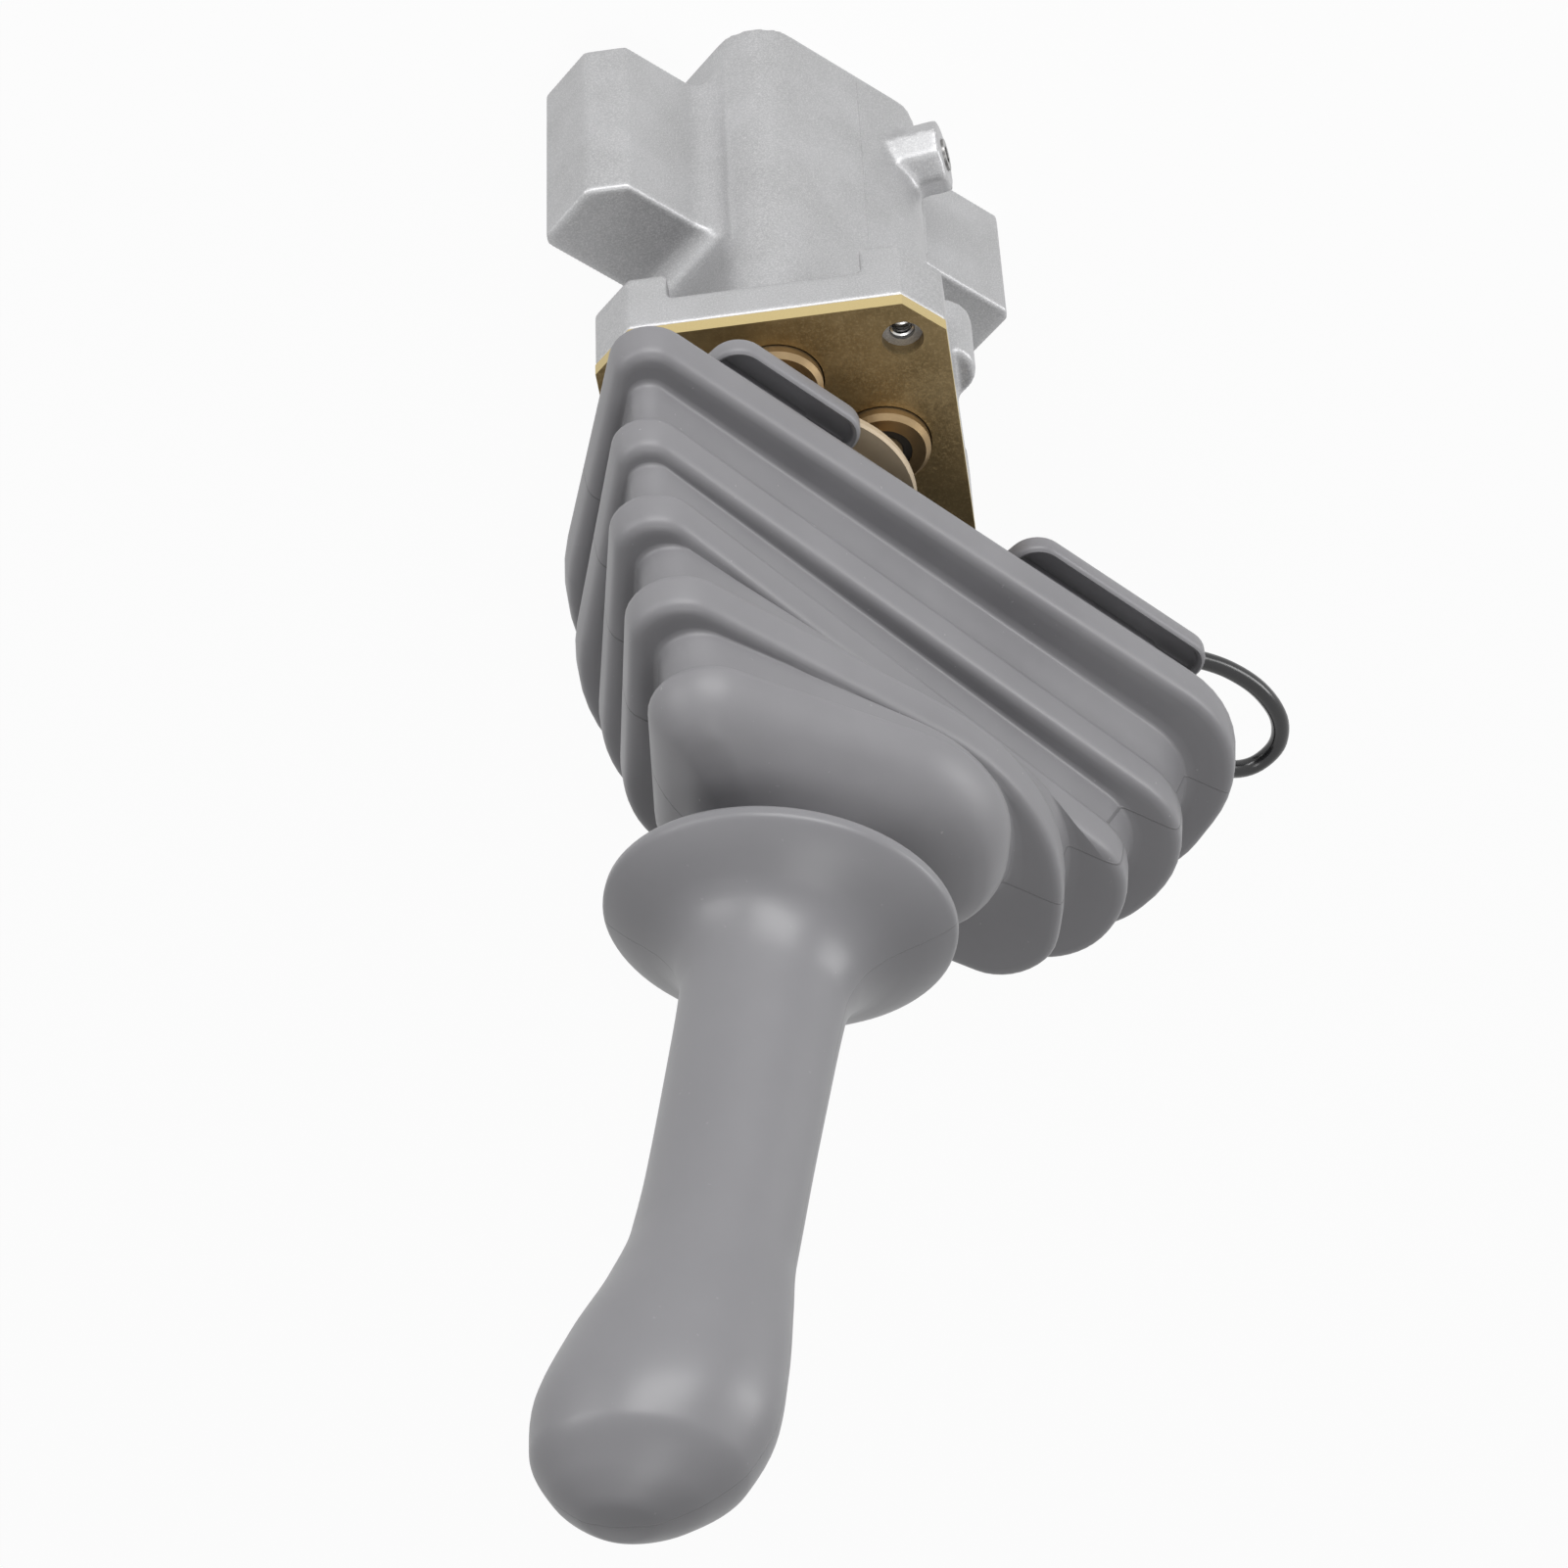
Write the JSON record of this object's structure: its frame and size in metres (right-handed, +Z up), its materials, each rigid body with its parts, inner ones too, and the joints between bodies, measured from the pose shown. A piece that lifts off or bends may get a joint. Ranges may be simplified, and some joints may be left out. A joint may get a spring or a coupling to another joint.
{
  "type": "hydraulic pilot joystick",
  "caption": "Pilot valve joystick: cast valve body with sprung spools and push rods, universal joint with swash disc, bellows boot, and a leaning hand grip with a horn button.",
  "frame": {"origin": "centre of the casting's flat base, on the valve's centre line", "axes": "+Z up along the valve towards the lever, +X towards the grip's lean and the horn button, -Y the front"},
  "size_m": [0.1679, 0.1773, 0.4169],
  "materials": {
    "cast_aluminium": "satin sand-free die casting",
    "plate_gold": "yellow zinc passivated, satin",
    "plug_gold": "yellow zinc passivated, turned",
    "seal_rubber": "matt",
    "joint_steel": "turned, light oil",
    "ground_steel": "ground bright",
    "rod_gold": "yellow zinc passivated, ground",
    "spring_steel": "drawn wire",
    "lever_black": "black phosphate",
    "zinc_plated": "bright zinc",
    "boot_rubber": "satin moulded grey rubber",
    "grip_grey": "satin moulded grey",
    "black_plastic": "moulded",
    "lead_black": "glossy PVC",
    "connector_white": "moulded natural nylon"
  },
  "bodies": {
    "valve": {"valve_casting": "cast_aluminium", "retaining_plate": "plate_gold", "guide_plugs": "plug_gold", "plug_o_rings": "seal_rubber", "rod_seals": "seal_rubber", "gallery_plugs": "zinc_plated", "joint_base": "joint_steel"},
    "cross": {"joint_cross": "ground_steel"},
    "lever": {"joint_yoke": "joint_steel", "swash_disc": "rod_gold", "disc_lock_nut": "zinc_plated", "lever_rod": "lever_black", "handle_lock_nut": "zinc_plated", "boot": "boot_rubber", "grip": "grip_grey", "horn_switch": "black_plastic", "horn_lead": "lead_black", "lead_connector": "connector_white", "cable_tie": "black_plastic"},
    "button": {"horn_button": "black_plastic"},
    "rod_front": {"push_rod_front": "rod_gold", "spring_seat_front": "ground_steel", "return_spring_front": "spring_steel", "metering_spring_front": "spring_steel"},
    "spool_front": {"spool_front": "ground_steel"},
    "rod_back": {"push_rod_back": "rod_gold", "spring_seat_back": "ground_steel", "return_spring_back": "spring_steel", "metering_spring_back": "spring_steel"},
    "spool_back": {"spool_back": "ground_steel"},
    "rod_left": {"push_rod_left": "rod_gold", "spring_seat_left": "ground_steel", "return_spring_left": "spring_steel", "metering_spring_left": "spring_steel"},
    "spool_left": {"spool_left": "ground_steel"},
    "rod_right": {"push_rod_right": "rod_gold", "spring_seat_right": "ground_steel", "return_spring_right": "spring_steel", "metering_spring_right": "spring_steel"},
    "spool_right": {"spool_right": "ground_steel"}
  },
  "joints": [
    {"name": "tilt_x", "type": "hinge", "parent": "valve", "child": "cross", "pos_m": [0, 0, 0.13025], "axis": [1, 0, 0], "range_deg": [-19, 19], "stiffness_Nm_per_rad": 6},
    {"name": "tilt_y", "type": "hinge", "parent": "cross", "child": "lever", "pos_m": [0, 0, 0.13025], "axis": [0, 1, 0], "range_deg": [-19, 19], "stiffness_Nm_per_rad": 6},
    {"name": "horn_press", "type": "slide", "parent": "lever", "child": "button", "axis": [-0.9839, 0, 0.1788], "range_m": [0, 0.0015], "stiffness_N_per_m": 800, "springref_m": -0.002},
    {"name": "rod_front_slide", "type": "slide", "parent": "valve", "child": "rod_front", "axis": [0, 0, 1], "range_m": [-0.008, 0.008], "deforming": ["return_spring_front", "metering_spring_front"]},
    {"name": "spool_front_slide", "type": "slide", "parent": "valve", "child": "spool_front", "axis": [0, 0, 1], "range_m": [-0.0014, 0.0014]},
    {"name": "rod_back_slide", "type": "slide", "parent": "valve", "child": "rod_back", "axis": [0, 0, 1], "range_m": [-0.008, 0.008], "deforming": ["return_spring_back", "metering_spring_back"]},
    {"name": "spool_back_slide", "type": "slide", "parent": "valve", "child": "spool_back", "axis": [0, 0, 1], "range_m": [-0.0014, 0.0014]},
    {"name": "rod_left_slide", "type": "slide", "parent": "valve", "child": "rod_left", "axis": [0, 0, 1], "range_m": [-0.008, 0.008], "deforming": ["return_spring_left", "metering_spring_left"]},
    {"name": "spool_left_slide", "type": "slide", "parent": "valve", "child": "spool_left", "axis": [0, 0, 1], "range_m": [-0.0014, 0.0014]},
    {"name": "rod_right_slide", "type": "slide", "parent": "valve", "child": "rod_right", "axis": [0, 0, 1], "range_m": [-0.008, 0.008], "deforming": ["return_spring_right", "metering_spring_right"]},
    {"name": "spool_right_slide", "type": "slide", "parent": "valve", "child": "spool_right", "axis": [0, 0, 1], "range_m": [-0.0014, 0.0014]}
  ],
  "couplings": [
    {"joint": "rod_front_slide", "follows": "tilt_x", "m_per_rad": -0.02304},
    {"joint": "spool_front_slide", "follows": "tilt_x", "m_per_rad": -0.003686},
    {"joint": "rod_back_slide", "follows": "tilt_x", "m_per_rad": 0.02304},
    {"joint": "spool_back_slide", "follows": "tilt_x", "m_per_rad": 0.003686},
    {"joint": "rod_left_slide", "follows": "tilt_y", "m_per_rad": 0.0237},
    {"joint": "spool_left_slide", "follows": "tilt_y", "m_per_rad": 0.003792},
    {"joint": "rod_right_slide", "follows": "tilt_y", "m_per_rad": -0.0237},
    {"joint": "spool_right_slide", "follows": "tilt_y", "m_per_rad": -0.003792}
  ]
}
